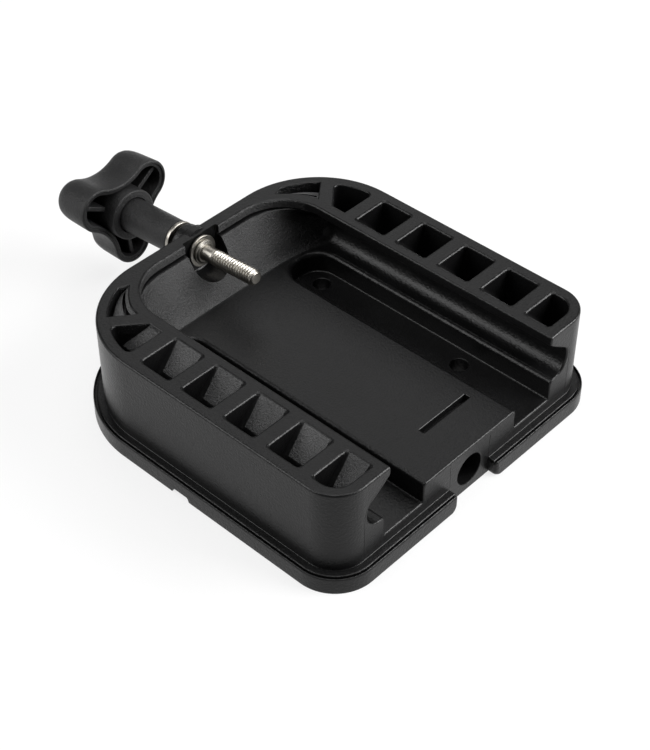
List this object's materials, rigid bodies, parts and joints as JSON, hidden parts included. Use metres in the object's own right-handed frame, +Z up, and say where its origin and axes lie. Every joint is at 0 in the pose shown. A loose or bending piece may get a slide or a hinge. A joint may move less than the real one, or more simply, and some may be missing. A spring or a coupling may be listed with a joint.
{
  "type": "rod holder mounting base",
  "caption": "Slide-in mounting base for a rod holder: a moulded tray with rail grooves and pocketed arms, and a captive clamp screw with a lobed knob at its back.",
  "frame": {"origin": "middle of the housing's flat underside, between the two side walls", "axes": "+Y towards the clamp knob (the open slide-in end is -Y), +Z up, +X to the right when looking from the open end"},
  "size_m": [0.1406, 0.1948, 0.0473],
  "materials": {
    "housing_nylon": "moulded satin black with a fine spark-eroded grain",
    "knob_nylon": "moulded satin black, slightly finer grain",
    "stainless_steel": "bright turned and rolled stainless steel"
  },
  "bodies": {
    "housing": {"base_housing": "housing_nylon"},
    "washers": {"inner_washer": "stainless_steel", "outer_washer": "stainless_steel"},
    "clamp": {"clamp_screw": "stainless_steel", "clamp_knob": "knob_nylon", "spacer_sleeve": "knob_nylon", "push_on_retainer": "stainless_steel"}
  },
  "joints": [
    {"name": "screw_sway", "type": "hinge", "parent": "housing", "child": "washers", "pos_m": [0, 0.0674, 0.034], "axis": [1, 0, 0], "range_deg": [0, 9]},
    {"name": "knob_spin", "type": "hinge", "parent": "washers", "child": "clamp", "pos_m": [0, 0.063, 0.03433], "axis": [0, 0.9969, -0.0785], "continuous": true}
  ]
}
